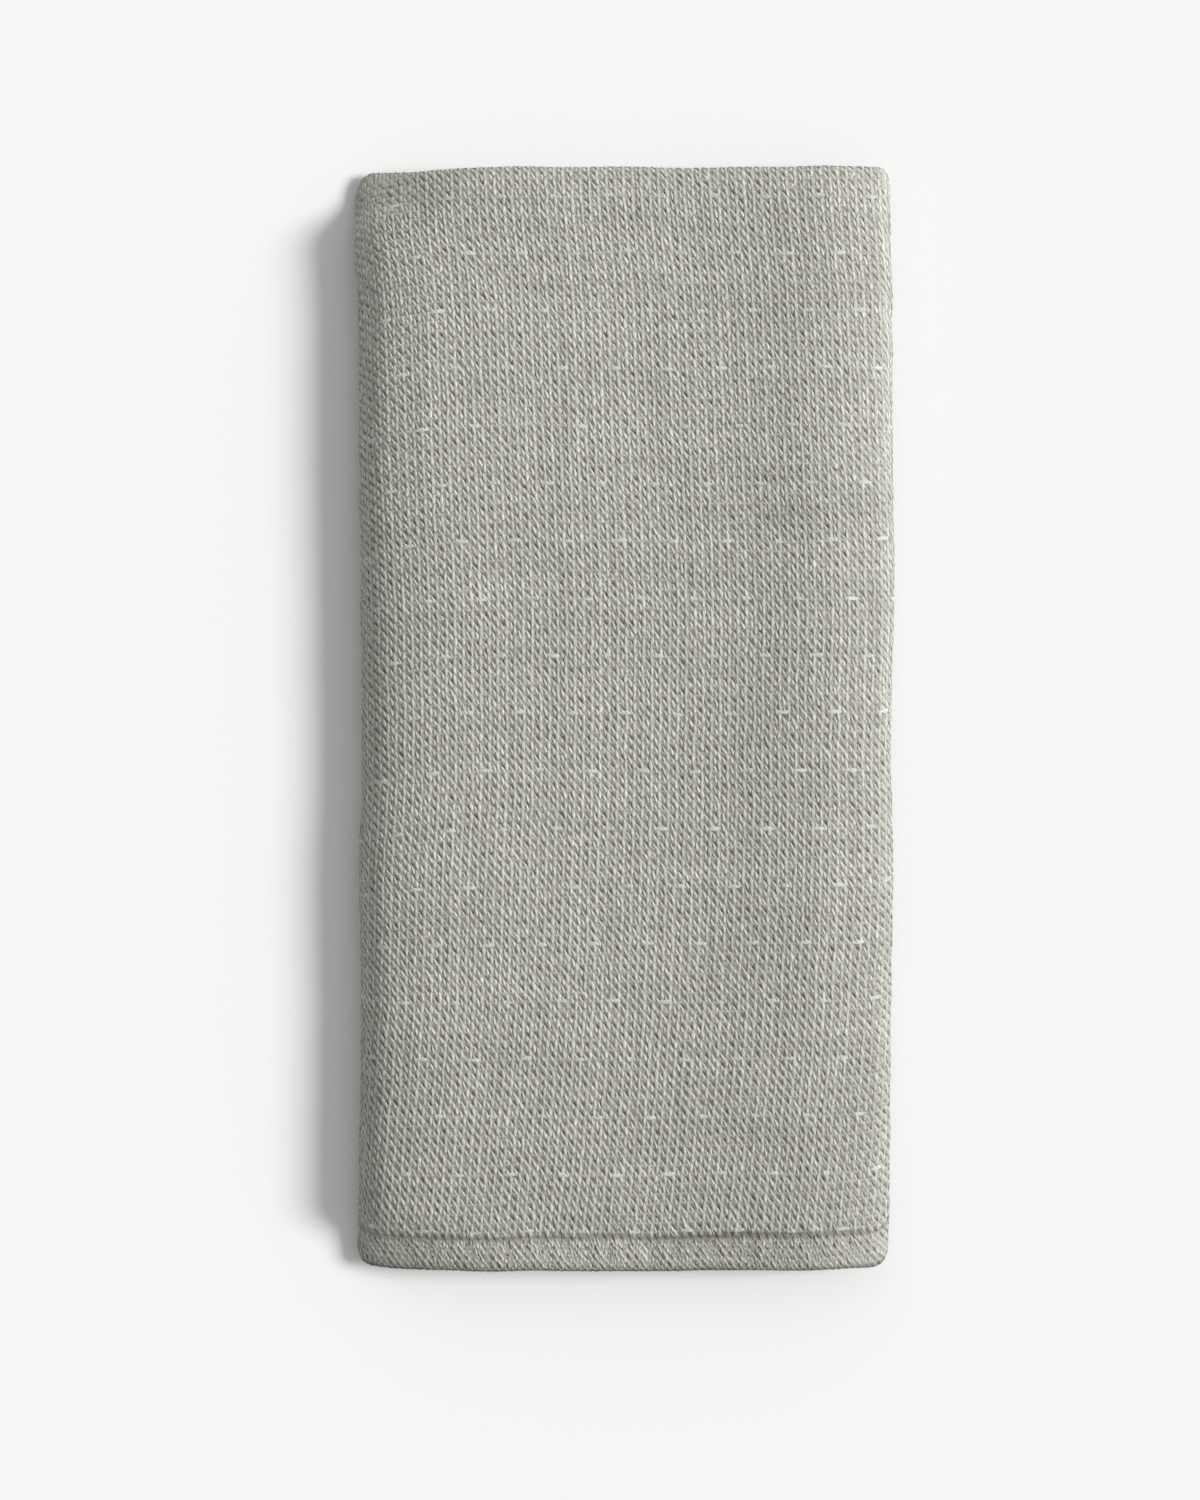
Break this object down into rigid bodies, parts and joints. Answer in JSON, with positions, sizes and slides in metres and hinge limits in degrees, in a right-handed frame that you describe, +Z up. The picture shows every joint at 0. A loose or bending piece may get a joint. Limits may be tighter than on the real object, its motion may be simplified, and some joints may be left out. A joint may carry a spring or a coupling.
{
  "type": "folded towel",
  "caption": "Thick woven hand towel with stitched hems, folded in half and then in thirds into a flat narrow stack.",
  "frame": {"origin": "middle of the underside, where the folded towel rests", "axes": "+Z up out of the surface it lies on, +Y along the folded length towards the closed crosswise fold, +X towards the long side where the lowest panel's selvedge lies"},
  "size_m": [0.1686, 0.3474, 0.0204],
  "materials": {
    "cloth": "matt, coarse flat weave in pale grey-green yarn with warm grey showing between the floats"
  },
  "bodies": {
    "root": {"towel": "cloth"}
  },
  "joints": []
}
